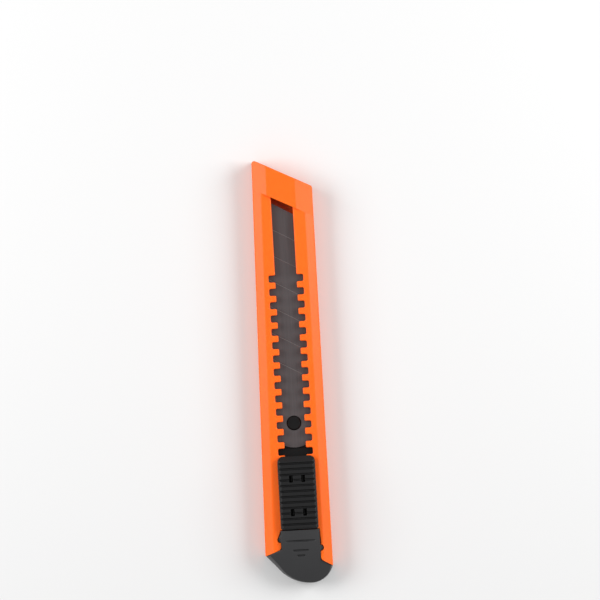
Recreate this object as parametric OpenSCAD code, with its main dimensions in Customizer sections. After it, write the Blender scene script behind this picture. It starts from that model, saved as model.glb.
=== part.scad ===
// Snap-off knife: moulded handle, segmented blade, click-lock slider and push-in end cap.
// Millimetres. The knife lies on its back: +Y runs to the nose, +Z out of the slider face.
// x = 0 is the centre line of slot and blade, y = 0 is half way along, z = 0 is the back face.

/* [Handle] */
// Length from the nose's corner, before it is rounded, to the end of the cap
knife_len = 160.1; // [150:0.1:195]
// Thickness from the back to the track that the slider runs on
body_t = 10.5; // [9.5:0.1:13]
// Side wall right of the blade
right_wall = 2.4; // [1.6:0.1:4]
// Side wall left of the blade, at the nose
left_wall_nose = 1.2; // [1:0.1:3]
// Side wall left of the blade, at the cap
left_wall_rear = 4.2; // [2:0.1:6]
// Wall behind the carrier's channel
back_wall = 2; // [1.2:0.1:3]
// Wall over the blade, which the slot and its notches cut through
front_wall = 2.2; // [1.6:0.1:2.8]
// Width of the bevels beside the track
bevel_w = 3.2; // [1.5:0.1:3.6]
// Depth of the bevels, at the sides and along the nose
bevel_drop = 1.8; // [0.8:0.1:2]
// Radius along the back edges
back_edge_r = 1.6; // [0.5:0.1:2]

/* [Nose] */
// Slant of the nose from square, in degrees
nose_slant = 26.7; // [15:0.1:32]
// Length of the raised nose panel, along the knife
nose_band = 11.3; // [8:0.1:16]
// Rise of the nose panel over the track
nose_rise = 0.7; // [0.3:0.1:1.2]
// Rise of the nose panel over the bevels, at the sides
nose_side_rise = 0.3; // [0.1:0.1:0.6]
// Width of the nose panel's flat
nose_flat = 10.4; // [8:0.1:14]
// Corner radius of the nose, seen from the front
nose_corner_r = 1; // [0.5:0.1:2]
// Chamfer around the nose's slanted end
nose_chamfer = 0.5; // [0.2:0.1:0.8]

/* [Slot] */
// Width of the slot
slot_w = 8; // [6.5:0.1:10]
// Depth of a notch, from the slot's side
notch_depth = 2.5; // [2:0.1:3]
// Length of a notch, along the knife
notch_len = 2.6; // [2.2:0.1:3.2]
// Distance from notch to notch
notch_pitch = 5; // [4:0.1:6]
// Corner radius of a notch
notch_r = 0.6; // [0.2:0.05:0.8]
// Radius of a tooth's tips, between two notches
tooth_r = 0.45; // [0.2:0.05:0.5]
// Least plain stretch of slot ahead of the foremost notch
slot_lead = 26.5; // [24:0.5:40]

/* [Blade] */
// Width of the blade
blade_w = 18; // [15:0.5:22]
// Length of the blade, tip to tail
blade_len = 95; // [85:1:110]
// Thickness of the blade
blade_t = 0.5; // [0.35:0.05:0.6]
// Slant of the segments from square, in degrees
blade_slant = 30; // [20:1:35]
// Length of a segment
segment_len = 10; // [5:0.5:12]
// Unscored length at the tail
tail_len = 28; // [24:1:40]
// Width of a score line
score_w = 0.34; // [0.2:0.02:0.5]
// Depth of a score line
score_depth = 0.14; // [0.05:0.01:0.2]
// Width of the ground cutting edge
ground_w = 1.8; // [1:0.1:3]
// Thickness left at the cutting edge
edge_t = 0.06; // [0.04:0.01:0.1]
// Diameter of the hole near the tail
hole_d = 5.6; // [4:0.1:6.4]
// Radius of the round tail, about the hole
tail_r = 9.2; // [7:0.1:11]

/* [Slider] */
// Length of the slider button
button_len = 27.4; // [24:0.1:30]
// Width of the slider button
button_w = 14.1; // [12:0.1:16]
// Height of the slider button over its underside
button_h = 3.05; // [2.6:0.05:5]
// From the rest notch to the slider's front end
button_ahead = 3.4; // [2:0.1:5]
// Radius of the slider's front corners
button_front_r = 2.2; // [1:0.1:4]
// Radius of the slider's rear corners
button_rear_r = 0.8; // [0.4:0.1:3]
// Chamfer along the slider's sides
button_side = 0.9; // [0.4:0.1:1.5]
// Length of the slope at the slider's front
button_slope = 2; // [1:0.1:4]
// Depth of the slope at the slider's front
button_fall = 1.6; // [0.6:0.1:2]
// Chamfer at the slider's rear end
button_rear_bevel = 0.6; // [0.2:0.1:1]
// Distance from groove to groove
groove_pitch = 2.07; // [1.2:0.01:2.2]
// Width of a grip groove
groove_w = 0.8; // [0.3:0.05:1.2]
// Depth of a grip groove
groove_depth = 0.65; // [0.2:0.05:0.8]
// Width of a grip groove's floor
groove_floor = 0.3; // [0.1:0.05:0.3]
// From the slider's front to the first groove
groove_first = 2.7; // [2:0.1:5]
// Least plain stretch behind the last groove
groove_last = 1.8; // [1.5:0.1:5]
// Width of a hook window
window_w = 1.1; // [0.9:0.05:1.6]
// Length of a hook window
window_len = 2.7; // [2:0.1:3.5]
// From the centre line to a hook window
window_x = 2.15; // [1.6:0.05:2.5]
// From the slider's front to the front pair of hook windows
window_front = 8.4; // [6:0.1:10]
// From the slider's rear to the rear pair of hook windows
window_rear = 6.4; // [5.6:0.1:8]

/* [Carrier] */
// Thickness of the carrier's deck
deck_t = 2; // [1.2:0.1:2.6]
// Thickness of the carrier's side and end walls
carrier_wall = 1.2; // [0.8:0.1:2]
// From the rest notch to the boss that holds the blade
boss_ahead = 15.6; // [13:0.1:18]
// Height of the boss over the blade
boss_proud = 0.3; // [0.2:0.1:1.5]
// From the boss to the carrier's front end
carrier_lead = 5.6; // [4:0.1:8]
// From the slider's rear end to the carrier's rear end
carrier_short = 1.1; // [0.5:0.1:2]
// Room ahead of the carrier where the slider stops
carrier_stop = 1.5; // [0.5:0.1:4]
// Thickness of the spring steel
spring_t = 0.4; // [0.3:0.05:0.5]
// Width of a spring arm
spring_w = 1.6; // [1.2:0.1:2]
// Height of a spring lug inside its notch
lug_h = 1.4; // [0.8:0.1:1.6]
// Diameter of the pegs that hold the spring
peg_d = 1.2; // [0.8:0.1:1.6]

/* [End cap] */
// Rise of the cap's dome over the track
cap_rise = 2.3; // [1.6:0.1:4]
// Radius of the cap's dome
dome_r = 42; // [34:1:70]
// Radius of the cap's bulging rim
rim_r = 9.5; // [9.3:0.1:14]
// From the track down to the rim's widest line
rim_fall = 5.9; // [4.5:0.1:6.5]
// From the slot's centre line to the cap's rearmost point, to the right
apex_x = 3.4; // [1:0.1:5]
// Radius of the cap's end left of that point, up to the straight flank that runs to the left corner
cap_left_r = 15.6; // [12:0.1:18]
// Length of the cap at its left corner
cap_left = 11.1; // [8:0.1:14]
// Length of the cap beside the tongue, on the left
cap_left_in = 13.5; // [11:0.1:16]
// Length of the cap beside the tongue, on the right
cap_right_in = 9; // [7:0.1:12]
// Length of the cap at its right corner
cap_right = 6.4; // [4:0.1:9]
// Length of the tongue, at its left side
tongue_len = 7.1; // [5.5:0.05:12]
// Radius of the snap bumps
bump_r = 1; // [0.6:0.1:1.3]
// From the cap to the left snap bump
bump_left = 3.65; // [2.6:0.05:4]
// From the cap to the right snap bump
bump_right = 4.45; // [2.6:0.05:7]
// Radius of the handle's corner beside the tongue, on the left
ear_left_r = 1.4; // [0.5:0.1:2]
// Radius of the handle's corner beside the tongue, on the right
ear_right_r = 1.7; // [0.5:0.1:2]
// From the tongue's front to its groove, and to the two grooves behind it
cap_grooves = [4.1, 7.7, 9.7]; // [2:0.1:12]
// Lengths of those grooves
cap_groove_lens = [11.2, 5.9, 2.9]; // [2:0.1:12]
// Wall of the plug that fills the channel
plug_wall = 1.4; // [1:0.1:2]
// From the plug to the carrier at rest
plug_clear = 2.5; // [1:0.1:4]

/* [Fits] */
// Gap at each side of what slides
side_gap = 0.3; // [0.2:0.05:0.4]
// Gap over and under what slides
run_gap = 0.15; // [0.1:0.05:0.2]
// Gap between handle and cap
seam_gap = 0.15; // [0.1:0.05:0.3]
// Gap around the boss, the hooks and the pegs
fit_gap = 0.15; // [0.1:0.05:0.2]
// Gap around the snap bumps
socket_gap = 0.25; // [0.2:0.05:0.4]
// Gap between the spring's arms and the wall over them
spring_gap = 0.07; // [0.05:0.01:0.15]

/* [Hidden] */
$fn = 72;
past = 1;           // how far a cut runs past what it cuts
far = 40;           // more than the knife's width
arc_steps = 6;      // facets of a rounded outline corner

// Sides and ends
passage_half = blade_w / 2 + side_gap;
right_half = passage_half + right_wall;
left_half_nose = passage_half + left_wall_nose;
left_half_rear = passage_half + left_wall_rear;
nose_y = knife_len / 2;
rear_y = -nose_y;
nose_top = body_t + nose_rise;
side_top = body_t - bevel_drop;
side_flare = atan2(left_half_rear - left_half_nose, knife_len - cap_left);
seam_left = rear_y + cap_left_in;
seam_right = rear_y + cap_right_in;
tongue_front = seam_left + tongue_len;

// Levels
shoulder_t = blade_t + 2 * run_gap;
passage_top = body_t - front_wall;
passage_floor = passage_top - shoulder_t - 2 * run_gap;
blade_z = passage_floor + run_gap;
blade_top = blade_z + blade_t;
deck_z = blade_z - deck_t;
carrier_z = back_wall + side_gap;
button_z = body_t + run_gap;
button_top = button_z + button_h;
cap_top = body_t + cap_rise;

// Slot, notches and travel
slot_half = slot_w / 2;
notch_half = slot_half + notch_depth;
channel_margin = 0.9;
channel_half = notch_half + channel_margin;
rest_y = tongue_front + seam_gap + fit_gap + button_len - button_ahead;
notch_count = 1 + floor((step_line(0) - slot_lead - rest_y) / notch_pitch);
travel = (notch_count - 1) * notch_pitch;

// Slider and carrier at rest
button_front = rest_y + button_ahead;
button_rear = button_front - button_len;
boss_y = rest_y + boss_ahead;
boss_r = hole_d / 2 - fit_gap;
tail_y = boss_y - tail_r;
tip_y = tail_y + blade_len;
carrier_front = boss_y + carrier_lead;
carrier_rear = button_rear + carrier_short;
carrier_half = channel_half - side_gap;
shoulder_half = passage_half - side_gap;
neck_half = slot_half - side_gap;
neck_lead = 0.5;
neck_front = rest_y + notch_len / 2 + neck_lead;
neck_rear = button_rear + window_rear - window_len / 2;
window_ys = [button_front - window_front, button_rear + window_rear];
channel_front = carrier_front + travel + carrier_stop;
groove_count = 1 + floor((button_len - groove_first - groove_last) / groove_pitch);

// Click spring
arm_in = slot_half + side_gap;
arm_out = arm_in + spring_w;
lug_half = notch_len / 2 - fit_gap;
lug_slope = 0.5;
lug_tab = 0.8;
arm_end = rest_y + lug_half + lug_tab;
arm_flat = 4;
arm_bend = neck_rear + arm_flat;
bar_inset = 0.9;
bar_front = neck_rear - side_gap;
bar_rear = carrier_rear + bar_inset;
peg_x = 2.4;
peg_y = (bar_front + bar_rear) / 2;

// Hooks that clip the carrier to the slider
hook_w = window_w - 2 * fit_gap;
hook_len = window_len - 2 * fit_gap;
hook_reach = 0.35;
hook_ledge = button_z + button_h / 3;
hook_sunk = 0.75;
hook_top = button_top - groove_depth - hook_sunk;

// Cap and tongue
tongue_half = channel_half - seam_gap;
tongue_z = passage_top + run_gap;
bump_left_y = seam_left + bump_left;
bump_right_y = seam_right + bump_right;
dome_lead = 1;
dome_y = tongue_front + dome_lead;
left_slope = (cap_left_in - cap_left) / (left_half_rear - channel_half);
right_slope = (cap_right_in - cap_right) / (right_half - channel_half);
left_run = apex_x + left_half_rear;
right_run = right_half - apex_x;
left_r = min(cap_left_r, to_cent((left_run ^ 2 + cap_left ^ 2) / (2 * cap_left)));
right_r = to_cent((right_run ^ 2 + cap_right ^ 2) / (2 * cap_right));
flank_kink = 4;     // degrees by which the flank crosses the round end
flank_r = left_r * cos(flank_kink);
flank_rise = left_r - cap_left;
flank_turn = asin(flank_r / norm([left_run, flank_rise])) - atan2(flank_rise, left_run);
cap_front = max(tongue_front, rear_y + max(left_r, right_r) + past);
rim_margin = 0.5;
bulge_r = max(rim_r, right_r + rim_margin);
rim_z = body_t - rim_fall;
plug_front = carrier_rear - plug_clear;
socket_r = bump_r + socket_gap;
slope_lead = 0.5;
slope_kink = 12;    // degrees by which the left bump's slope crosses its round
slope_turn = acos(socket_r * cos(slope_kink) / (tongue_front + seam_gap - slope_lead - bump_left_y));

// The nose's slanted end, and the step at the rear of its panel, at a given x
function nose_line(x) = nose_y - (x + left_half_nose) * tan(nose_slant);
function step_line(x) = nose_line(x) - nose_band;

// A length in whole hundredths
function to_cent(v) = round(v * 100) / 100;

// Points of a round corner at p, between the sides that run to a and to b
function unit(v) = v / norm(v);
function turn(from, to) = (to - from + 540) % 360 - 180;
function corner(a, p, b, r) =
    let (
        u = unit(a - p),
        v = unit(b - p),
        half = acos(u * v) / 2,
        c = p + unit(u + v) * r / sin(half),
        s = p + u * r / tan(half) - c,
        e = p + v * r / tan(half) - c,
        start = atan2(s.y, s.x),
        sweep = turn(start, atan2(e.y, e.x))
    )
    [for (i = [0 : arc_steps]) let (t = start + sweep * i / arc_steps) c + r * [cos(t), sin(t)]];

// What a round of radius r leaves of a corner at p, between the sides that run to a and to b
module corner_waste(a, p, b, r) {
    u = unit(a - p);
    v = unit(b - p);
    half = acos(u * v) / 2;
    c = p + unit(u + v) * r / sin(half);
    reach = r / tan(half);
    difference() {
        polygon([p, p + u * reach, c, p + v * reach]);
        translate(c) circle(r);
    }
}

// Flat rectangle from y0 to y1 with round front and rear corners
module rounded_rect(w, y0, y1, front_r, rear_r) {
    translate([-w / 2, y0 + rear_r]) square([w, y1 - y0 - front_r - rear_r]);
    for (end = [[y0, rear_r, 1], [y1, front_r, -1]]) {
        r = end[1];
        inner = w / 2 - r;
        translate([0, end[0] + end[2] * r / 2]) square([2 * inner, r], center = true);
        for (side = [-1, 1]) translate([side * inner, end[0] + end[2] * r]) circle(r);
    }
}

// Box between two corners
module block(low, high) {
    translate(low) cube(high - low);
}

// Side profile, drawn as [y, z], run across the knife from x0 to x1
module across(x0, x1) {
    translate([x0, 0, 0]) rotate([90, 0, 90]) linear_extrude(x1 - x0) children();
}

// Cross-section, drawn as [x, z], run along the knife from y0 to y1
module along(y0, y1) {
    translate([0, y1, 0]) rotate([90, 0, 0]) linear_extrude(y1 - y0) children();
}

// Cross-sections of what is cut off a long edge: x = 0 is the side, z = 0 the face
module bevel_section(w, drop) {
    polygon([[-w, 0], [past, -drop * (w + past) / w], [past, far], [-w, far]]);
}

module round_section(r) {
    difference() {
        translate([-r, -past]) square([r + past, r + past]);
        translate([-r, r]) circle(r);
    }
}

// What is cut off along the right side and along the flared left side
module right_edge() {
    translate([right_half, 0, 0]) along(-knife_len, knife_len) children();
}

module left_edge() {
    translate([-left_half_nose, nose_y, 0]) rotate([0, 0, -side_flare]) mirror([1, 0, 0])
        along(-2 * knife_len, knife_len) children();
}

// What is cut off along the nose's slanted end
module nose_edge() {
    translate([-left_half_nose, nose_y, 0]) rotate([0, 0, 90 - nose_slant])
        along(-far * 2, far) children();
}

// Outline of the handle, with the rear end that the cap meets
module handle_plan() {
    nose_left = [-left_half_nose, nose_y];
    nose_right = [right_half, nose_line(right_half)];
    rear_right = [right_half, rear_y + cap_right];
    rear_left = [-left_half_rear, rear_y + cap_left];
    polygon(concat(
        corner(rear_left, nose_left, nose_right, nose_corner_r),
        corner(nose_left, nose_right, rear_right, nose_corner_r),
        [rear_right, [channel_half, seam_right], [-channel_half, seam_left], rear_left]
    ));
}

// Everything ahead of the step behind the nose panel
module nose_zone() {
    polygon([
        [-far, step_line(-far)], [far, step_line(far)], [far, nose_y + far], [-far, nose_y + far]
    ]);
}

module handle_blank() {
    panel_right = right_half - nose_flat / 2;
    panel_left = left_half_nose - nose_flat / 2;
    panel_drop = nose_top - side_top - nose_side_rise;
    difference() {
        union() {
            difference() {
                linear_extrude(body_t) difference() {
                    handle_plan();
                    nose_zone();
                }
                right_edge() translate([0, body_t]) bevel_section(bevel_w, bevel_drop);
                left_edge() translate([0, body_t]) bevel_section(bevel_w, bevel_drop);
            }
            difference() {
                linear_extrude(nose_top) intersection() {
                    handle_plan();
                    nose_zone();
                }
                right_edge() translate([0, nose_top]) bevel_section(panel_right, panel_drop);
                left_edge() translate([0, nose_top]) bevel_section(panel_left, panel_drop);
            }
        }
        right_edge() round_section(back_edge_r);
        left_edge() round_section(back_edge_r);
        nose_edge() translate([0, nose_top]) bevel_section(nose_chamfer, nose_chamfer);
        nose_edge() mirror([0, 1]) bevel_section(nose_chamfer, nose_chamfer);
    }
}

// The slot with its slanted front end and its row of notches, open to the rear
module slot_plan() {
    polygon([
        [-slot_half, step_line(-slot_half)], [slot_half, step_line(slot_half)],
        [slot_half, rear_y], [-slot_half, rear_y]
    ]);
    for (i = [0 : notch_count - 1]) {
        y = rest_y + i * notch_pitch;
        rounded_rect(2 * notch_half, y - notch_len / 2, y + notch_len / 2, notch_r, notch_r);
        for (side = [-1, 1], end = [-1, 1]) {
            tip = [side * slot_half, y + end * notch_len / 2];
            corner_waste(tip + [side, 0], tip, tip + [0, end], tooth_r);
        }
    }
}

// Plan of the left snap bump or its socket, about a point on its side, with a slope ahead of it
module left_bump(x, r) {
    foot = r * cos(slope_kink);
    translate([x, bump_left_y]) {
        circle(r);
        polygon([[0, 0], [0, foot / cos(slope_turn)], foot * [-sin(slope_turn), cos(slope_turn)]]);
    }
}

// The rear opening for the cap's tongue, with a socket for each snap bump and round rear corners
module tongue_opening() {
    ear_left = [-channel_half, seam_left];
    ear_right = [channel_half, seam_right];
    translate([-channel_half, rear_y]) square([2 * channel_half, tongue_front + seam_gap - rear_y]);
    left_bump(-channel_half, socket_r);
    translate([channel_half, bump_right_y]) circle(socket_r);
    corner_waste(ear_left + [0, 1], ear_left, [-left_half_rear, rear_y + cap_left], ear_left_r);
    corner_waste(ear_right + [0, 1], ear_right, [right_half, rear_y + cap_right], ear_right_r);
}

// Pocket under the front end of the slot. The carrier is wider and stops behind it
module front_pocket() {
    pocket_rear = min(channel_front, step_line(slot_half)) - past;
    translate([0, 0, back_wall]) linear_extrude(passage_top - back_wall) polygon([
        [-slot_half, pocket_rear], [slot_half, pocket_rear],
        [slot_half, step_line(slot_half)], [-slot_half, step_line(-slot_half)]
    ]);
}

module handle_body() {
    color("darkorange") difference() {
        handle_blank();
        block([-passage_half, rear_y, passage_floor], [passage_half, nose_y + past, passage_top]);
        block([-channel_half, rear_y, back_wall], [channel_half, channel_front, passage_top]);
        front_pocket();
        translate([0, 0, passage_floor]) linear_extrude(far) {
            slot_plan();
            tongue_opening();
        }
    }
}

// Blade with its cutting edge on the left, scored on its front face
module blade() {
    half = blade_w / 2;
    rise = tan(blade_slant);
    edge_drop = (blade_t - edge_t) / 2;
    score_count = floor((blade_len - tail_len) / segment_len);
    color("dimgray") difference() {
        translate([0, 0, blade_z]) linear_extrude(blade_t) difference() {
            polygon([[-half, tip_y], [half, tip_y - blade_w * rise], [half, tail_y], [-half, tail_y]]);
            difference() {
                translate([-blade_w, tail_y - past]) square([2 * blade_w, tail_r + past]);
                translate([0, boss_y]) circle(tail_r);
            }
        }
        translate([-half, 0, blade_top]) mirror([1, 0, 0])
            along(tail_y - past, tip_y + past) bevel_section(ground_w, edge_drop);
        translate([-half, 0, blade_z]) mirror([1, 0, 0]) mirror([0, 0, 1])
            along(tail_y - past, tip_y + past) bevel_section(ground_w, edge_drop);
        for (i = [1 : score_count])
            translate([0, tip_y - half * rise - i * segment_len, blade_top])
                rotate([0, 0, -blade_slant]) across(-far, far)
                    polygon([[-score_w / 2, 0], [score_w / 2, 0], [0, -score_depth]]);
        translate([0, boss_y, blade_z - past]) cylinder(d = hole_d, h = blade_t + 2 * past);
    }
}

// One hook, clipped over a ledge in the slider's window, with its barb to the right
module hook() {
    along(-hook_len / 2, hook_len / 2) polygon([
        [-hook_w / 2, button_z - past], [hook_w / 2, button_z - past], [hook_w / 2, hook_ledge + fit_gap],
        [hook_w / 2 + hook_reach, hook_ledge + fit_gap], [0, hook_top], [-hook_w / 2, hook_top]
    ]);
}

// Calls its children at each hook window, mirrored so that barbs point outwards
module at_windows() {
    for (y = window_ys, side = [0, 1])
        mirror([side, 0, 0]) translate([window_x, y, 0]) children();
}

module blade_carrier() {
    boss_top = blade_top + boss_proud;
    boss_bevel = 0.4;
    shoulder_top = blade_z + shoulder_t;
    tail_stop = tail_y - side_gap;
    relief_front = arm_end + side_gap;
    relief_gap = 0.2;
    color("#2b2b2d") difference() {
        union() {
            block([-carrier_half, carrier_rear, carrier_z], [carrier_half, carrier_front, blade_z]);
            block(
                [-shoulder_half, carrier_rear + carrier_wall, blade_z],
                [shoulder_half, tail_stop, shoulder_top]
            );
            block([-neck_half, neck_rear, blade_z], [neck_half, neck_front, button_z]);
            translate([0, boss_y, blade_z - past])
                cylinder(r = boss_r, h = boss_top - boss_bevel - blade_z + past);
            translate([0, boss_y, boss_top - boss_bevel])
                cylinder(r1 = boss_r, r2 = boss_r - boss_bevel, h = boss_bevel);
            at_windows() hook();
        }
        // Hollow underside
        block(
            [carrier_wall - carrier_half, carrier_rear + carrier_wall, carrier_z - past],
            [carrier_half - carrier_wall, carrier_front - carrier_wall, deck_z]
        );
        // Seat of the spring, open to the rear
        block(
            [-arm_out - relief_gap, carrier_rear - past, blade_z],
            [arm_out + relief_gap, neck_rear, far]
        );
        // Room beside the neck for the spring's arms, and room below for them to bend into
        for (side = [0, 1]) mirror([side, 0, 0]) {
            block(
                [arm_in - relief_gap, neck_rear - past, blade_z],
                [arm_out + relief_gap, relief_front, button_z]
            );
            block(
                [arm_in - relief_gap, arm_bend, deck_z - past],
                [arm_out + relief_gap, relief_front, far]
            );
        }
    }
    color("#2b2b2d") for (side = [-1, 1])
        translate([side * peg_x, peg_y, deck_z]) cylinder(d = peg_d, h = shoulder_top - deck_z);
}

// Side profile of a grip groove: z = 0 is the face that it is cut into
module groove_section() {
    polygon([
        [-groove_w / 2, past], [groove_w / 2, past], [groove_w / 2, 0], [groove_floor / 2, -groove_depth],
        [-groove_floor / 2, -groove_depth], [-groove_w / 2, 0]
    ]);
}

// Grip grooves across the slider
module grip_grooves() {
    for (i = [0 : groove_count - 1])
        translate([0, button_front - groove_first - i * groove_pitch, button_top])
            across(-button_w, button_w) groove_section();
}

module slider_button() {
    half = button_w / 2;
    side_bevel_z = button_top - button_side;
    color("#2b2b2d") difference() {
        intersection() {
            translate([0, 0, button_z]) linear_extrude(button_h)
                rounded_rect(button_w, button_rear, button_front, button_front_r, button_rear_r);
            along(button_rear - past, button_front + past) polygon([
                [-half, button_z], [half, button_z], [half, side_bevel_z], [half - button_side, button_top],
                [button_side - half, button_top], [-half, side_bevel_z]
            ]);
            across(-button_w, button_w) polygon([
                [button_front, button_z], [button_front, button_top - button_fall],
                [button_front - button_slope, button_top], [button_rear + button_rear_bevel, button_top],
                [button_rear, button_top - button_rear_bevel], [button_rear, button_z]
            ]);
        }
        grip_grooves();
        at_windows() {
            block([-window_w / 2, -window_len / 2, button_z - past], [window_w / 2, window_len / 2, far]);
            block([0, -window_len / 2, hook_ledge], [window_w / 2 + hook_reach, window_len / 2, far]);
        }
    }
}

// Steel spring: a bar behind the neck and two arms beside it, each with a formed lug in the rest notch
module lock_spring() {
    low = blade_z;
    top = passage_top - spring_gap;
    lug_top = passage_top + lug_h;
    foot = rest_y - lug_half;
    toe = rest_y + lug_half;
    color("silver") difference() {
        union() {
            block([-arm_out, bar_rear, low], [arm_out, bar_front, low + spring_t]);
            for (side = [0, 1]) mirror([side, 0, 0]) across(arm_in, arm_out) polygon([
                [bar_rear, low], [arm_bend, low], [foot - spring_t, top - spring_t],
                [foot + spring_t, top - spring_t], [foot + lug_slope + spring_t, lug_top - spring_t],
                [toe - lug_slope - spring_t, lug_top - spring_t], [toe - spring_t, top - spring_t],
                [arm_end, top - spring_t], [arm_end, top], [toe, top], [toe - lug_slope, lug_top],
                [foot + lug_slope, lug_top], [foot, top], [foot - spring_t, top],
                [arm_bend, low + spring_t], [bar_rear, low + spring_t]
            ]);
        }
        for (side = [-1, 1])
            translate([side * peg_x, peg_y, low - past])
                cylinder(d = peg_d + 2 * fit_gap, h = spring_t + 2 * past);
    }
}

// Half section of the cap where its end has radius r, with a bulging rim
module rim_section(r) {
    core = max(r - bulge_r, 0);
    intersection() {
        square([r + past, cap_top]);
        union() {
            square([core + past, cap_top]);
            translate([r - bulge_r, rim_z]) circle(bulge_r);
        }
    }
}

// Right side of the cap and its tongue: a round end of radius r, and the straight stretch ahead of it
module cap_side(r) {
    translate([apex_x, rear_y + r, 0]) rotate([0, 0, 270]) rotate_extrude(angle = 90) rim_section(r);
    translate([apex_x, 0, 0]) along(rear_y + r, cap_front) rim_section(r);
}

// Straight flank that leaves the round end on the left and runs to the left corner
module left_flank() {
    translate([apex_x, rear_y + left_r, 0]) mirror([1, 0, 0]) rotate([0, 0, flank_turn - 90])
        along(0, left_run) rim_section(flank_r);
}

// Cap and tongue in one: two sides that meet at the rearmost point, and the flank, under a dome
module cap_blank() {
    intersection() {
        union() {
            cap_side(right_r);
            translate([2 * apex_x, 0, 0]) mirror([1, 0, 0]) cap_side(left_r);
            left_flank();
        }
        translate([0, dome_y, cap_top - dome_r]) sphere(dome_r);
    }
}

// Everything behind the line where the cap meets the handle
module cap_zone() {
    reach = far - channel_half;
    translate([0, -seam_gap]) polygon([
        [-far, seam_left - left_slope * reach], [-channel_half, seam_left], [channel_half, seam_right],
        [far, seam_right - right_slope * reach], [far, rear_y - far], [-far, rear_y - far]
    ]);
}

// Grooves that continue the slider's grip on the tongue and the cap
module cap_groove_cuts() {
    for (i = [0 : len(cap_grooves) - 1]) {
        half_len = cap_groove_lens[i] / 2;
        dome_drop = dome_r - sqrt(dome_r ^ 2 - (dome_lead + cap_grooves[i]) ^ 2);
        translate([0, tongue_front - cap_grooves[i], cap_top - dome_drop])
            across(-half_len, half_len) groove_section();
    }
}

module end_cap() {
    plug_half = channel_half - side_gap;
    plug_top = passage_floor - run_gap;
    color("#38383b") difference() {
        union() {
            intersection() {
                cap_blank();
                linear_extrude(far) cap_zone();
            }
            block([-plug_half, seam_right - past, carrier_z], [plug_half, plug_front, plug_top]);
        }
        block(
            [plug_wall - plug_half, seam_left, carrier_z + plug_wall],
            [plug_half - plug_wall, plug_front + past, far]
        );
        cap_groove_cuts();
    }
}

module cap_tongue() {
    color("#38383b") difference() {
        union() {
            intersection() {
                cap_blank();
                block([-tongue_half, rear_y, tongue_z], [tongue_half, tongue_front, far]);
                linear_extrude(far) difference() {
                    translate([-far, rear_y]) square([2 * far, knife_len]);
                    cap_zone();
                }
            }
            translate([0, 0, tongue_z]) linear_extrude(body_t - tongue_z) {
                left_bump(-tongue_half, bump_r);
                translate([tongue_half, bump_right_y]) circle(bump_r);
            }
        }
        cap_groove_cuts();
    }
}

handle_body();
blade();
blade_carrier();
slider_button();
lock_spring();
end_cap();
cap_tongue();
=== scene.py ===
"""Looks of a snap-off knife: rounded mouldings, plastic and steel finishes, a studio and a camera.

The knife lies on its back on the floor. +Y runs along it to the nose, and +Z out of the face with
the slider. Lengths are in metres.
"""

from __future__ import annotations

import logging
import math
from collections.abc import Callable
from dataclasses import dataclass, field
from enum import Enum
from typing import Any, Union

import bmesh
import bpy
from bmesh.types import BMEdge, BMFace
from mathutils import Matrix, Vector

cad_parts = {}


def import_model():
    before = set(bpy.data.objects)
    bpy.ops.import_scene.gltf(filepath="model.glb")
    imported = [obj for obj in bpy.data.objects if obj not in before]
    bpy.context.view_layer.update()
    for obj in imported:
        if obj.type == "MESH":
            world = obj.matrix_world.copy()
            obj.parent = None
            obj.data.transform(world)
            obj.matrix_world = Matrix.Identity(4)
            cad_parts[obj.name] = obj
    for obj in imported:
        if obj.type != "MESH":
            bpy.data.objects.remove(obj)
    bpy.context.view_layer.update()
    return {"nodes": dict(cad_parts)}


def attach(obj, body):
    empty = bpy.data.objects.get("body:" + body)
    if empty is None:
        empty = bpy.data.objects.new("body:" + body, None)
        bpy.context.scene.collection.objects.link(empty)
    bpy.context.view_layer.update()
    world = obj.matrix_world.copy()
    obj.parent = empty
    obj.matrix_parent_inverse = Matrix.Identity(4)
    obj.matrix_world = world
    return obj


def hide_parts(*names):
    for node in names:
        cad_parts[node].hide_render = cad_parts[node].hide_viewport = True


LOG = logging.getLogger("snap_off_knife")
MM = 0.001

Colour = tuple[float, float, float]
Point = tuple[float, float, float]


class Body(Enum):
    """The bodies that a piece can ride on."""

    HANDLE = "handle"
    SLIDER = "slider"
    CAP = "cap"


class Slot(Enum):
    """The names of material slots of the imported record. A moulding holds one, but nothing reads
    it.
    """

    HANDLE_PLASTIC = "handle_plastic"
    SLIDER_PLASTIC = "slider_plastic"
    CARRIER_PLASTIC = "carrier_plastic"
    CAP_PLASTIC = "cap_plastic"


class Socket:
    """A node's output. Arithmetic on it adds Math nodes to its graph."""

    def __init__(self, graph: Graph, output: bpy.types.NodeSocket) -> None:
        """Wraps an output.

        Args:
            graph: the graph that holds the output.
            output: the output itself.
        """
        self.graph = graph
        self.output = output

    def __add__(self, other: Value) -> Socket:
        """The sum of two values."""
        return self.graph.math("ADD", self, other)

    __radd__ = __add__

    def __sub__(self, other: Value) -> Socket:
        """This value less another."""
        return self.graph.math("SUBTRACT", self, other)

    def __rsub__(self, other: Value) -> Socket:
        """Another value less this one."""
        return self.graph.math("SUBTRACT", other, self)

    def __mul__(self, other: Value) -> Socket:
        """The product of two values."""
        return self.graph.math("MULTIPLY", self, other)

    __rmul__ = __mul__

    def __truediv__(self, other: Value) -> Socket:
        """This value over another."""
        return self.graph.math("DIVIDE", self, other)

    def __rtruediv__(self, other: Value) -> Socket:
        """Another value over this one."""
        return self.graph.math("DIVIDE", other, self)

    def __lt__(self, other: Value) -> Socket:
        """1 where this value is the smaller one, else 0."""
        return self.graph.math("LESS_THAN", self, other)

    def __gt__(self, other: Value) -> Socket:
        """1 where this value is the greater one, else 0."""
        return self.graph.math("GREATER_THAN", self, other)


Value = Union[Socket, float]
Feed = Union[Socket, float, tuple[float, ...]]


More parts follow.
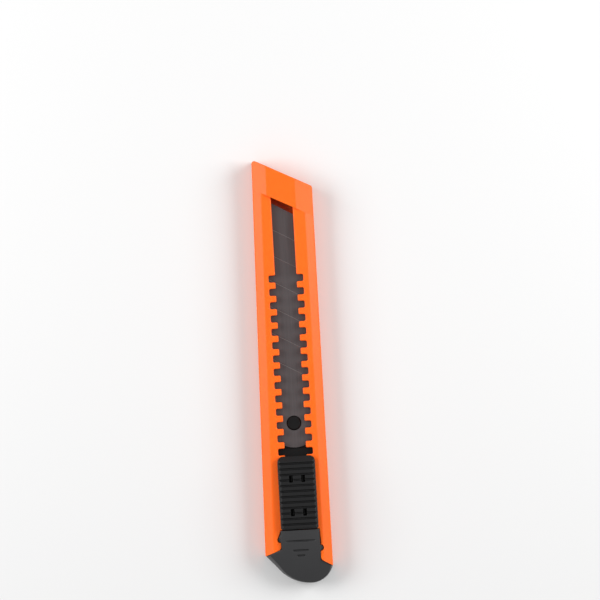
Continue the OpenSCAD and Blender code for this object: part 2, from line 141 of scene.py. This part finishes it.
class Graph:
    """The node graph of one material."""

    MIX_COLOUR_INPUTS = (0, 6, 7)
    MIX_COLOUR_OUTPUT = 2
    NOISE_MIDDLE = 0.5

    def __init__(self, name: str) -> None:
        """Starts a material with an empty Principled shader.

        Args:
            name: the material's name.
        """
        self.material = bpy.data.materials.new(name)
        self.material.use_nodes = True
        self.tree = self.material.node_tree
        self.shader = self.tree.nodes["Principled BSDF"]
        self.place = self.node("ShaderNodeTexCoord", output="Object")

    def node(
        self,
        kind: str,
        settings: dict[str, Any] | None = None,
        inputs: dict[str | int, Feed] | None = None,
        output: str | int = 0,
    ) -> Socket:
        """Adds a node.

        Args:
            kind: the node's type.
            settings: its properties, set before its sockets.
            inputs: a value or a link for each socket, by name or by place.
            output: the output that the caller goes on with, by name or by place.

        Returns:
            The chosen output.
        """
        made = self.tree.nodes.new(kind)
        for key, value in (settings or {}).items():
            setattr(made, key, value)
        for key, feed in (inputs or {}).items():
            self.feed(made.inputs[key], feed)
        return Socket(self, made.outputs[output])

    def feed(self, target: bpy.types.NodeSocket, feed: Feed) -> None:
        """Links an output to a socket, or sets the socket's own value.

        Args:
            target: the socket.
            feed: an output, a number or a vector. A colour gets its alpha here.
        """
        if isinstance(feed, Socket):
            self.tree.links.new(feed.output, target)
        elif target.type == "RGBA":
            target.default_value = (*feed, 1.0)
        else:
            target.default_value = feed

    def math(self, operation: str, *values: Value) -> Socket:
        """Adds a Math node.

        Args:
            operation: what it does.
            values: its two values.

        Returns:
            Its result.
        """
        return self.node("ShaderNodeMath", {"operation": operation}, dict(enumerate(values)))

    def mix(self, share: Value, first: Feed, second: Feed) -> Socket:
        """Mixes two colours.

        Args:
            share: how much of the second colour.
            first: the colour at 0.
            second: the colour at 1.

        Returns:
            The mixed colour.
        """
        feeds = dict(zip(self.MIX_COLOUR_INPUTS, (share, first, second)))
        return self.node("ShaderNodeMix", {"data_type": "RGBA"}, feeds, self.MIX_COLOUR_OUTPUT)

    def axes(self) -> tuple[Socket, Socket, Socket]:
        """Splits the object's own coordinates.

        Returns:
            X, Y and Z, each as a value.
        """
        split = self.node("ShaderNodeSeparateXYZ", inputs={0: self.place}).output.node
        x, y, z = (Socket(self, out) for out in split.outputs)
        return x, y, z

    def noise(self, size: float | Point, detail: float = 2.0, turn: float = 0.0) -> Socket:
        """A noise pattern on the object's own coordinates.

        Args:
            size: the width of its patches, alike or for each axis.
            detail: how many finer layers it has.
            turn: its turn about Z, in radians.

        Returns:
            The pattern, NOISE_MIDDLE on average.
        """
        sizes = size if isinstance(size, tuple) else (size,) * 3
        scale = tuple(1.0 / s for s in sizes)
        placed = self.node(
            "ShaderNodeMapping",
            inputs={"Vector": self.place, "Rotation": (0.0, 0.0, turn), "Scale": scale},
        )
        layers = {"Vector": placed, "Scale": 1.0, "Detail": detail}
        return self.node("ShaderNodeTexNoise", inputs=layers)

    def ramp(self, value: Value, low: float, high: float) -> Socket:
        """A smooth step from 0 at low to 1 at high.

        Args:
            value: what is stepped.
            low: where the step starts.
            high: where it ends.

        Returns:
            The step, between 0 and 1.
        """
        limits = {"Value": value, "From Min": low, "From Max": high}
        return self.node("ShaderNodeMapRange", {"interpolation_type": "SMOOTHSTEP"}, limits)

    def bump(self, height: Value, depth: float) -> Socket:
        """A surface relief.

        Args:
            height: the relief's height, between 0 and 1.
            depth: the height of 1.

        Returns:
            The bent normal.
        """
        relief = {"Strength": 1.0, "Distance": depth, "Height": height}
        return self.node("ShaderNodeBump", inputs=relief)

    def surface(self, **feeds: Feed) -> bpy.types.Material:
        """Feeds the shader and hands out the material.

        Args:
            feeds: a value or a link for each socket, with _ for each space in its name.

        Returns:
            The finished material.
        """
        for key, feed in feeds.items():
            self.feed(self.shader.inputs[key.replace("_", " ")], feed)
        return self.material


@dataclass(frozen=True)
class MouldedPlastic:
    """Moulded plastic: a spark-eroded grain, and pigment that drifts a little from place to place.

    With some glow, light also spreads below the surface.
    """

    name: str
    colour: Colour
    drift_colour: Colour
    roughness: float
    specular: float = 0.4
    glow: float = 0.0
    glow_reach: Colour = (1.0, 0.22, 0.06)
    glow_depth: float = 1.5 * MM
    roughness_spread: float = 0.12
    grain: float = 0.35 * MM
    grain_depth: float = 0.006 * MM
    grain_detail: float = 3.0
    drift: float = 22 * MM
    drift_detail: float = 1.0

    def make(self) -> bpy.types.Material:
        """Makes the material.

        Returns:
            The material.
        """
        graph = Graph(self.name)
        grain = graph.noise(self.grain, self.grain_detail)
        drift = graph.noise(self.drift, self.drift_detail)
        return graph.surface(
            Base_Color=graph.mix(drift, self.colour, self.drift_colour),
            Roughness=self.roughness + (grain - Graph.NOISE_MIDDLE) * self.roughness_spread,
            Specular_IOR_Level=self.specular,
            Subsurface_Weight=self.glow,
            Subsurface_Radius=self.glow_reach,
            Subsurface_Scale=self.glow_depth,
            Normal=graph.bump(grain, self.grain_depth),
        )


@dataclass(frozen=True)
class RolledSteel:
    """Rolled strip steel: fine streaks along the strip, a little duller where they are light."""

    name: str
    colour: Colour
    streak_colour: Colour
    roughness: float
    roughness_spread: float = 0.18
    streak_width: float = 0.25 * MM
    streak_length: float = 14 * MM
    streak_depth: float = 0.002 * MM
    streak_detail: float = 4.0

    def make(self) -> bpy.types.Material:
        """Makes the material.

        Returns:
            The material.
        """
        graph = Graph(self.name)
        streak = self.streaks(graph)
        return graph.surface(
            Base_Color=graph.mix(streak, self.colour, self.streak_colour),
            Metallic=1.0,
            Roughness=self.rolled_roughness(streak),
            Normal=graph.bump(streak, self.streak_depth),
        )

    def streaks(self, graph: Graph) -> Socket:
        """The rolling streaks, as a noise pattern drawn out along Y."""
        sizes = (self.streak_width, self.streak_length, self.streak_width)
        return graph.noise(sizes, self.streak_detail)

    def rolled_roughness(self, streak: Socket) -> Socket:
        """The roughness of the rolled face, which follows the streaks."""
        return self.roughness + (streak - Graph.NOISE_MIDDLE) * self.roughness_spread


@dataclass(frozen=True)
class BladeSteel(RolledSteel):
    """Blackened blade steel, with a bright ground edge and score lines that are pressed in."""

    half_width: float = 9 * MM
    tip: float = 66.25 * MM
    slant: float = math.radians(30)
    segment: float = 10 * MM
    score_count: int = 6
    score_width: float = 0.34 * MM
    score_colour: Colour = (0.150, 0.140, 0.142)
    score_metal: float = 0.1
    blackened_metal: float = 0.45
    ground_width: float = 1.8 * MM
    ground_colour: Colour = (0.56, 0.56, 0.58)
    ground_roughness: float = 0.24
    grind: Point = (1.5 * MM, 0.06 * MM, 1.5 * MM)
    grind_detail: float = 3.0
    blend: float = 0.05 * MM

    def make(self) -> bpy.types.Material:
        """Makes the material.

        Returns:
            The material.
        """
        graph = Graph(self.name)
        streak = self.streaks(graph)
        ground = self.ground_mask(graph)
        score = self.score_mask(graph)
        marks = graph.noise(self.grind, self.grind_detail)
        rolled = graph.mix(streak, self.colour, self.streak_colour)
        scored = graph.mix(score, rolled, self.score_colour)
        metal = self.blackened_metal + score * (self.score_metal - self.blackened_metal)
        plain_rough = self.rolled_roughness(streak)
        ground_spread = (marks - Graph.NOISE_MIDDLE) * self.roughness_spread
        ground_rough = self.ground_roughness + ground_spread
        return graph.surface(
            Base_Color=graph.mix(ground, scored, self.ground_colour),
            Metallic=metal * (1 - ground) + ground,
            Roughness=plain_rough * (1 - ground) + ground_rough * ground,
            Normal=graph.bump(streak * (1 - ground) + marks * ground, self.streak_depth),
        )

    def ground_mask(self, graph: Graph) -> Socket:
        """Masks the ground edge along the blade's left side.

        Args:
            graph: the blade's graph.

        Returns:
            1 on the ground edge, else 0.
        """
        x, _, _ = graph.axes()
        inner = self.ground_width - self.half_width
        return 1 - graph.ramp(x, inner, inner + self.blend)

    def score_mask(self, graph: Graph) -> Socket:
        """Masks the score lines, which lie at whole numbers of segments from the tip.

        Args:
            graph: the blade's graph.

        Returns:
            1 in the lines, else 0.
        """
        x, y, _ = graph.axes()
        rise = math.tan(self.slant)
        segments = (self.tip - self.half_width * rise - y - x * rise) / self.segment
        half = 0.5
        from_line = graph.math("PINGPONG", segments, half) * (self.segment * math.cos(self.slant))
        edge = self.score_width * half
        line = 1 - graph.ramp(from_line, edge - self.blend, edge)
        return line * (segments > half) * (segments < self.score_count + half)


def dress(piece: bpy.types.Object, material: bpy.types.Material) -> None:
    """Gives an object one material.

    Args:
        piece: the object.
        material: what it gets.
    """
    if not piece.material_slots:
        piece.data.materials.append(material)
    for slot in piece.material_slots:
        slot.material = material


def pick(piece: bpy.types.Object) -> None:
    """Selects only this object, and makes it active.

    Args:
        piece: the object.
    """
    bpy.ops.object.select_all(action="DESELECT")
    piece.select_set(True)
    bpy.context.view_layer.objects.active = piece


def apply(piece: bpy.types.Object, name: str, kind: str, **settings: Any) -> None:
    """Adds a modifier and applies it.

    Args:
        piece: the object.
        name: the modifier's name.
        kind: the modifier's type.
        settings: its properties.
    """
    pick(piece)
    modifier = piece.modifiers.new(name, kind)
    for key, value in settings.items():
        setattr(modifier, key, value)
    bpy.ops.object.modifier_apply(modifier=name)


def split_faces(
    piece: bpy.types.Object, place: Vector, across: Vector, rule: Callable[[BMFace], bool]
) -> None:
    """Cuts the faces that a rule picks along a plane.

    Args:
        piece: the object.
        place: a point of the plane.
        across: the plane's normal.
        rule: says if a face is picked.
    """
    pick(piece)
    bpy.ops.object.mode_set(mode="EDIT")
    bpy.ops.mesh.select_mode(type="FACE")
    bpy.ops.mesh.select_all(action="DESELECT")
    edit = bmesh.from_edit_mesh(piece.data)
    for face in edit.faces:
        face.select_set(rule(face))
    bmesh.update_edit_mesh(piece.data)
    bpy.ops.mesh.bisect(plane_co=place, plane_no=across)
    bpy.ops.object.mode_set(mode="OBJECT")


@dataclass(frozen=True)
class Moulding:
    """One moulded piece: a merged copy of CAD nodes, with rounded edges and a finish.

    Points closer than merge become one, and triangles that turn by less than flat become one face.
    Edges that turn by more than sharp may be rounded. After that, shading is smooth across edges
    that turn by less than crisp.
    """

    name: str
    body: Body
    slot: Slot
    finish: MouldedPlastic
    merge: float = 0.001 * MM
    flat: float = math.radians(0.5)
    sharp: float = math.radians(12)
    crisp: float = math.radians(35)
    segments: int = 3

    def copy(self, node: bpy.types.Object) -> bpy.types.Object:
        """Copies a node, merges its loose triangles and dissolves them into whole faces.

        Args:
            node: the node's object.

        Returns:
            The copy, which rides on nothing yet.
        """
        pick(node)
        bpy.ops.object.duplicate()
        piece = bpy.context.active_object
        piece.parent = None
        for key in list(piece.keys()):
            del piece[key]
        bpy.ops.mesh.customdata_custom_splitnormals_clear()
        bpy.ops.object.mode_set(mode="EDIT")
        bpy.ops.mesh.select_all(action="SELECT")
        bpy.ops.mesh.remove_doubles(threshold=self.merge)
        bpy.ops.mesh.dissolve_limited(angle_limit=self.flat)
        bpy.ops.object.mode_set(mode="OBJECT")
        return piece

    def weigh(self, piece: bpy.types.Object, rule: Callable[[BMEdge], bool]) -> None:
        """Marks the outward edges that a rule picks for rounding, and only those.

        Args:
            piece: the copy.
            rule: says if an edge is picked.
        """
        pick(piece)
        bpy.ops.object.mode_set(mode="EDIT")
        bpy.ops.mesh.select_mode(type="EDGE")
        bpy.ops.mesh.select_all(action="SELECT")
        bpy.ops.transform.edge_bevelweight(value=-1.0)
        bpy.ops.mesh.select_all(action="DESELECT")
        edit = bmesh.from_edit_mesh(piece.data)
        for edge in edit.edges:
            edge.select_set(edge.is_convex and edge.calc_face_angle() > self.sharp and rule(edge))
        bmesh.update_edit_mesh(piece.data)
        bpy.ops.transform.edge_bevelweight(value=1.0)
        bpy.ops.object.mode_set(mode="OBJECT")

    def round_edges(self, piece: bpy.types.Object, radius: float) -> None:
        """Rounds the marked edges.

        Args:
            piece: the copy.
            radius: how far the rounding reaches from an edge.
        """
        apply(
            piece,
            "edges",
            "BEVEL",
            width=radius,
            segments=self.segments,
            limit_method="WEIGHT",
            use_clamp_overlap=False,
            loop_slide=False,
        )

    def shade(self, piece: bpy.types.Object) -> None:
        """Smooths what is round, keeps what is flat flat, and splits the faces into triangles.

        Args:
            piece: the rounded copy.
        """
        pick(piece)
        bpy.ops.object.shade_smooth_by_angle(angle=self.crisp)
        apply(piece, "normals", "WEIGHTED_NORMAL", keep_sharp=True)
        apply(piece, "triangles", "TRIANGULATE", ngon_method="BEAUTY", keep_custom_normals=True)

    def hand_over(self, piece: bpy.types.Object, *nodes: str) -> bpy.types.Object:
        """Names and dresses the piece, and puts it in its nodes' place.

        Args:
            piece: the finished mesh.
            nodes: the nodes that it stands for.

        Returns:
            The piece.
        """
        piece.name = self.name
        dress(piece, self.finish.make())
        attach(piece, self.body.value)
        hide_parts(*nodes)
        return piece


@dataclass
class Handle:
    """The orange moulding, rounded at its slot's mouth, its face's long creases and its nose panel.

    The face's rounding stops short of the step behind the panel. The rear, where the cap fits in,
    stays crisp. level_z, wall_z and slope_z are limits for the Z of a face's normal.
    """

    nodes: dict[str, bpy.types.Object]
    radius: float = 0.42 * MM
    panel_radius: float = 0.2 * MM
    panel_run: float = 0.05 * MM
    crease_length: float = 5 * MM
    crease_floor: float = 8.5 * MM
    crease_end: float = -65.2 * MM
    mouth_floor: float = 10 * MM
    mouth_end: float = -59.3 * MM
    step_place: float = 63.469 * MM
    step_slant: float = math.radians(26.7)
    step_margin: float = 0.3 * MM
    reach: float = 0.01 * MM
    level_z: float = 0.99
    wall_z: float = 0.05
    slope_z: float = 0.3
    moulding: Moulding = Moulding(
        "handle_moulding",
        Body.HANDLE,
        Slot.HANDLE_PLASTIC,
        MouldedPlastic(
            "handle_orange",
            (1.0, 0.150, 0.011),
            (0.97, 0.139, 0.010),
            roughness=0.34,
            specular=0.20,
            glow=0.2,
        ),
    )

    def ahead(self, place: Vector) -> float:
        """How far a place lies ahead of the step behind the nose panel."""
        return (place - Vector((0.0, self.step_place, 0.0))).dot(self.step_normal())

    def step_normal(self) -> Vector:
        """The direction in which the step's wall looks, turned to the nose."""
        return Vector((math.sin(self.step_slant), math.cos(self.step_slant), 0.0))

    def is_mouth(self, edge: BMEdge) -> bool:
        """Finds the rims of the upright walls of the slot and its notches, behind the step.

        Args:
            edge: an edge of the handle.

        Returns:
            True if the edge is such a rim.
        """
        low = min(vert.co.z for vert in edge.verts)
        rear, front = sorted(vert.co.y for vert in edge.verts)
        flat, wall = sorted((face.normal for face in edge.link_faces), key=lambda n: -n.z)
        upright = flat.z > self.level_z and abs(wall.z) < self.wall_z
        behind = max(self.ahead(vert.co) for vert in edge.verts) < self.reach - self.step_margin
        in_slot = rear > self.mouth_end - self.reach and front > self.mouth_end + self.reach
        return low > self.mouth_floor and upright and behind and in_slot

    def is_panel(self, edge: BMEdge) -> bool:
        """Finds the nose panel's creases. Its rim along the step stays crisp.

        Args:
            edge: an edge of the handle.

        Returns:
            True if the edge is such a crease.
        """
        low = min(vert.co.z for vert in edge.verts)
        near, far = sorted(self.ahead(vert.co) for vert in edge.verts)
        run = (edge.verts[0].co - edge.verts[1].co).to_2d().length
        on_panel = near > -self.reach and far > self.reach
        return low > self.crease_floor and run > self.panel_run and on_panel

    def is_crease(self, edge: BMEdge) -> bool:
        """Finds the long creases of the face, behind the step.

        Args:
            edge: an edge of the handle.

        Returns:
            True if the edge is such a crease.
        """
        low = min(vert.co.z for vert in edge.verts)
        rear, front = sorted(vert.co.y for vert in edge.verts)
        behind = max(self.ahead(vert.co) for vert in edge.verts) < self.reach - self.step_margin
        return low > self.crease_floor and front - rear > self.crease_length and behind

    def meets_step(self, face: BMFace) -> bool:
        """Says if a face reaches across the line just behind the step."""
        places = [self.ahead(vert.co) for vert in face.verts]
        return max(places) > -self.step_margin > min(places)

    def meets_socket(self, face: BMFace) -> bool:
        """Finds the faces right of the slot, other than walls, that reach across the crease's end.

        Args:
            face: a face of the handle.

        Returns:
            True if the face is cut there.
        """
        rear, *_, front = sorted(vert.co.y for vert in face.verts)
        on_right = min(vert.co.x for vert in face.verts) > 0
        no_wall = face.normal.z > self.slope_z
        return on_right and no_wall and front > self.crease_end > rear

    def cut_ends(self, body: bpy.types.Object) -> None:
        """Cuts faces behind the step and ahead of the right socket, where the face's rounding ends.

        Args:
            body: the handle's copy.
        """
        normal = self.step_normal()
        behind = Vector((0.0, self.step_place, 0.0)) - normal * self.step_margin
        split_faces(body, behind, normal, self.meets_step)
        end = Vector((0.0, self.crease_end, 0.0))
        split_faces(body, end, Vector((0.0, 1.0, 0.0)), self.meets_socket)

    def build(self) -> list[bpy.types.Object]:
        """Rounds and dresses the handle.

        Returns:
            The handle's piece.
        """
        body = self.moulding.copy(self.nodes["handle_body"])
        self.cut_ends(body)
        self.moulding.weigh(body, lambda edge: self.is_mouth(edge) or self.is_crease(edge))
        self.moulding.round_edges(body, self.radius)
        self.moulding.weigh(body, self.is_panel)
        self.moulding.round_edges(body, self.panel_radius)
        self.moulding.shade(body)
        return [self.moulding.hand_over(body, "handle_body")]


@dataclass
class SliderUnit:
    """The thumb slider, its carrier and spring, and the blade on them.

    The carrier is rounded above its deck only. The block under the deck runs inside the handle.
    """

    nodes: dict[str, bpy.types.Object]
    button_radius: float = 0.16 * MM
    carrier_radius: float = 0.16 * MM
    deck: float = 7.35 * MM
    reach: float = 0.01 * MM
    button: Moulding = Moulding(
        "slider_moulding",
        Body.SLIDER,
        Slot.SLIDER_PLASTIC,
        MouldedPlastic(
            "slider_black",
            (0.0065, 0.0065, 0.0070),
            (0.0090, 0.0090, 0.0095),
            roughness=0.42,
            specular=0.28,
        ),
    )
    carrier: Moulding = Moulding(
        "carrier_moulding",
        Body.SLIDER,
        Slot.CARRIER_PLASTIC,
        MouldedPlastic(
            "carrier_black_painted_shade",
            # Painted shade: this black is darker than the slider's black of the same plastic,
            # standing in for the shade that the carrier sits in ahead of the slider.
            (0.004, 0.004, 0.004),
            (0.006, 0.006, 0.006),
            roughness=0.5,
            specular=0.17,
        ),
    )
    blade_finish: BladeSteel = BladeSteel(
        "blade_dark_steel", (0.068, 0.058, 0.059), (0.110, 0.096, 0.099), roughness=0.44
    )
    spring_finish: RolledSteel = RolledSteel(
        "spring_bright_steel", (0.50, 0.50, 0.52), (0.62, 0.62, 0.64), roughness=0.28
    )

    def is_above_deck(self, edge: BMEdge) -> bool:
        """Says if an edge rises from the carrier's deck or lies above it."""
        low, high = sorted(vert.co.z for vert in edge.verts)
        return low > self.deck - self.reach and high > self.deck + self.reach

    def build(self) -> list[bpy.types.Object]:
        """Rounds the two mouldings and dresses all four pieces.

        Returns:
            Their objects.
        """
        made = []
        mouldings = (
            (self.button, self.button_radius, lambda edge: True, "slider_button"),
            (self.carrier, self.carrier_radius, self.is_above_deck, "blade_carrier"),
        )
        for moulding, radius, rule, node in mouldings:
            piece = moulding.copy(self.nodes[node])
            moulding.weigh(piece, rule)
            moulding.round_edges(piece, radius)
            moulding.shade(piece)
            made.append(moulding.hand_over(piece, node))
        for finish, node in ((self.blade_finish, "blade"), (self.spring_finish, "lock_spring")):
            dress(self.nodes[node], finish.make())
            made.append(self.nodes[node])
        return made


@dataclass
class EndCap:
    """The black end cap with its tongue, one moulding with soft edges all over."""

    nodes: dict[str, bpy.types.Object]
    overlap: float = 0.04 * MM
    cell: float = 0.12 * MM
    smoothing: int = 4
    smooth_share: float = 0.5
    kept_share: float = 0.3
    moulding: Moulding = Moulding(
        "cap_moulding",
        Body.CAP,
        Slot.CAP_PLASTIC,
        MouldedPlastic(
            "cap_black_painted_light",
            # Painted light: this black is lighter than the slider's black of the same plastic,
            # standing in for the grey sheen that lies over the cap.
            (0.025, 0.025, 0.0265),
            (0.031, 0.031, 0.0325),
            roughness=0.40,
        ),
    )

    def build(self) -> list[bpy.types.Object]:
        """Joins cap and tongue into one moulding and dresses it.

        Returns:
            The moulding.
        """
        cap = self.moulding.copy(self.nodes["end_cap"])
        tongue = self.moulding.copy(self.nodes["cap_tongue"])
        bpy.ops.object.mode_set(mode="EDIT")
        bpy.ops.mesh.select_all(action="SELECT")
        bpy.ops.transform.translate(value=(0.0, -self.overlap, 0.0))
        bpy.ops.object.mode_set(mode="OBJECT")
        apply(cap, "join", "BOOLEAN", operation="UNION", solver="EXACT", object=tongue)
        bpy.data.objects.remove(tongue)
        apply(cap, "skin", "REMESH", mode="VOXEL", voxel_size=self.cell)
        apply(cap, "soften", "SMOOTH", factor=self.smooth_share, iterations=self.smoothing)
        apply(cap, "thin", "DECIMATE", ratio=self.kept_share)
        bpy.ops.object.shade_smooth()
        return [self.moulding.hand_over(cap, "end_cap", "cap_tongue")]


@dataclass(frozen=True)
class SoftLight:
    """A square studio light that points at the knife."""

    name: str
    place: Point
    size: float
    power: float
    colour: Colour = (1.0, 1.0, 1.0)

    def hang(self, target: Vector) -> None:
        """Adds the light.

        Args:
            target: the point that it faces.
        """
        bpy.ops.object.light_add(type="AREA", location=self.place)
        lamp = bpy.context.active_object
        lamp.name = self.name
        lamp.rotation_euler = (target - Vector(self.place)).to_track_quat("-Z", "Y").to_euler()
        lamp.data.shape = "SQUARE"
        lamp.data.size = self.size
        lamp.data.energy = self.power
        lamp.data.color = self.colour


@dataclass
class Studio:
    """A pale floor, soft light from both sides, and even light all round."""

    floor_size: float = 6.0
    floor_drop: float = 0.02 * MM
    floor_colour: Colour = (0.73, 0.73, 0.73)
    floor_roughness: float = 0.9
    sky_colour: Colour = (1.0, 1.0, 1.0)
    sky_strength: float = 0.48
    target: Point = (0.0, 0.0, 0.005)
    lights: list[SoftLight] = field(
        default_factory=lambda: [
            SoftLight("key_light", (0.62, 0.20, 0.48), 0.5, 5.0),
            SoftLight("fill_light", (-0.62, 0.20, 0.48), 0.5, 4.8),
        ]
    )

    def build(self) -> None:
        """Lays the floor, hangs the lights, and sets the light all round and the view transform."""
        self.lay_floor()
        for light in self.lights:
            light.hang(Vector(self.target))
        world = bpy.data.worlds.new("studio")
        world.use_nodes = True
        sky = world.node_tree.nodes["Background"]
        sky.inputs["Color"].default_value = (*self.sky_colour, 1.0)
        sky.inputs["Strength"].default_value = self.sky_strength
        bpy.context.scene.world = world
        bpy.context.scene.view_settings.view_transform = "Standard"

    def lay_floor(self) -> None:
        """Adds the floor just under the knife's back."""
        place = (0.0, 0.0, -self.floor_drop)
        bpy.ops.mesh.primitive_plane_add(size=self.floor_size, location=place)
        floor = bpy.context.active_object
        floor.name = "floor"
        paint = Graph("floor_white")
        dress(floor, paint.surface(Base_Color=self.floor_colour, Roughness=self.floor_roughness))


@dataclass
class PhotoCamera:
    """A camera straight above the knife, with a long lens, framed as in the photograph."""

    image_side: int = 600
    pixel: float = 0.3755 * MM
    origin_pixel: tuple[float, float] = (291.07, 371.04)
    tilt: float = math.radians(3.2)
    height: float = 1.2
    focus_height: float = 8 * MM

    def build(self) -> None:
        """Adds the camera and makes it the scene's own."""
        right = Vector((math.cos(self.tilt), -math.sin(self.tilt), 0.0))
        up = Vector((math.sin(self.tilt), math.cos(self.tilt), 0.0))
        middle = self.image_side / 2
        across = (middle - self.origin_pixel[0]) * self.pixel
        along = (self.origin_pixel[1] - middle) * self.pixel
        place = across * right + along * up + Vector((0.0, 0.0, self.focus_height + self.height))
        bpy.ops.object.camera_add(location=place, rotation=(0.0, 0.0, -self.tilt))
        camera = bpy.context.active_object
        camera.name = "photo_camera"
        camera.data.lens = camera.data.sensor_width * self.height / (self.image_side * self.pixel)
        bpy.context.scene.camera = camera


def main() -> None:
    """Loads the frame, dresses each sub-assembly and sets up the studio."""
    logging.basicConfig(level=logging.INFO, format="%(name)s: %(message)s")
    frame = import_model()
    for assembly in (Handle(frame["nodes"]), SliderUnit(frame["nodes"]), EndCap(frame["nodes"])):
        for piece in assembly.build():
            faces = len(piece.data.polygons)
            LOG.info("%s: %s has %d faces", type(assembly).__name__, piece.name, faces)
    Studio().build()
    PhotoCamera().build()


if __name__ == "__main__":
    main()
